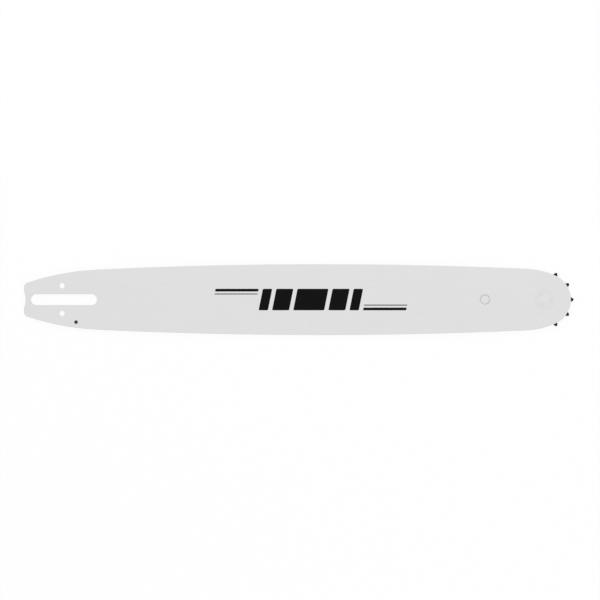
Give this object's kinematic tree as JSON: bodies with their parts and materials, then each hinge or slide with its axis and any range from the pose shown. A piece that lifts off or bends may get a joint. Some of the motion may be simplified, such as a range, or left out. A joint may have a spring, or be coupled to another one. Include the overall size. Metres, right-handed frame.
{
  "type": "chainsaw guide bar",
  "caption": "Long flat chainsaw guide bar of laminated steel with a chain groove round its edge, a slotted mounting end and a rounded nose with a toothed sprocket on rollers.",
  "frame": {"origin": "middle of the mounting slot, on the back plate's outer face, on which the bar lies", "axes": "+X along the bar to the nose, +Y across the bar, +Z through its thickness to the front plate"},
  "size_m": [0.603, 0.0778, 0.0046],
  "materials": {
    "lacquered_steel": "pale grey satin lacquer",
    "core_steel": "bare rolled steel",
    "black_steel": "black oxide",
    "bearing_steel": "ground, hardened"
  },
  "bodies": {
    "bar": {"side_plate_front": "lacquered_steel", "side_plate_back": "lacquered_steel", "centre_plate": "core_steel", "bearing_race": "bearing_steel", "nose_rivets": "lacquered_steel", "locating_rivet": "lacquered_steel"},
    "sprocket": {"nose_sprocket": "black_steel"},
    "roller_ring": {"roller_01": "bearing_steel", "roller_02": "bearing_steel", "roller_03": "bearing_steel", "roller_04": "bearing_steel", "roller_05": "bearing_steel", "roller_06": "bearing_steel", "roller_07": "bearing_steel", "roller_08": "bearing_steel", "roller_09": "bearing_steel", "roller_10": "bearing_steel", "roller_11": "bearing_steel", "roller_12": "bearing_steel", "roller_13": "bearing_steel", "roller_14": "bearing_steel", "roller_15": "bearing_steel"}
  },
  "joints": [
    {"name": "sprocket_spin", "type": "hinge", "parent": "bar", "child": "sprocket", "pos_m": [0.5273, 0, 0.0023], "axis": [0, 0, 1], "continuous": true},
    {"name": "roller_orbit", "type": "hinge", "parent": "bar", "child": "roller_ring", "pos_m": [0.5273, 0, 0.0023], "axis": [0, 0, 1], "continuous": true}
  ],
  "couplings": [
    {"joint": "roller_orbit", "follows": "sprocket_spin", "ratio": 0.6}
  ]
}
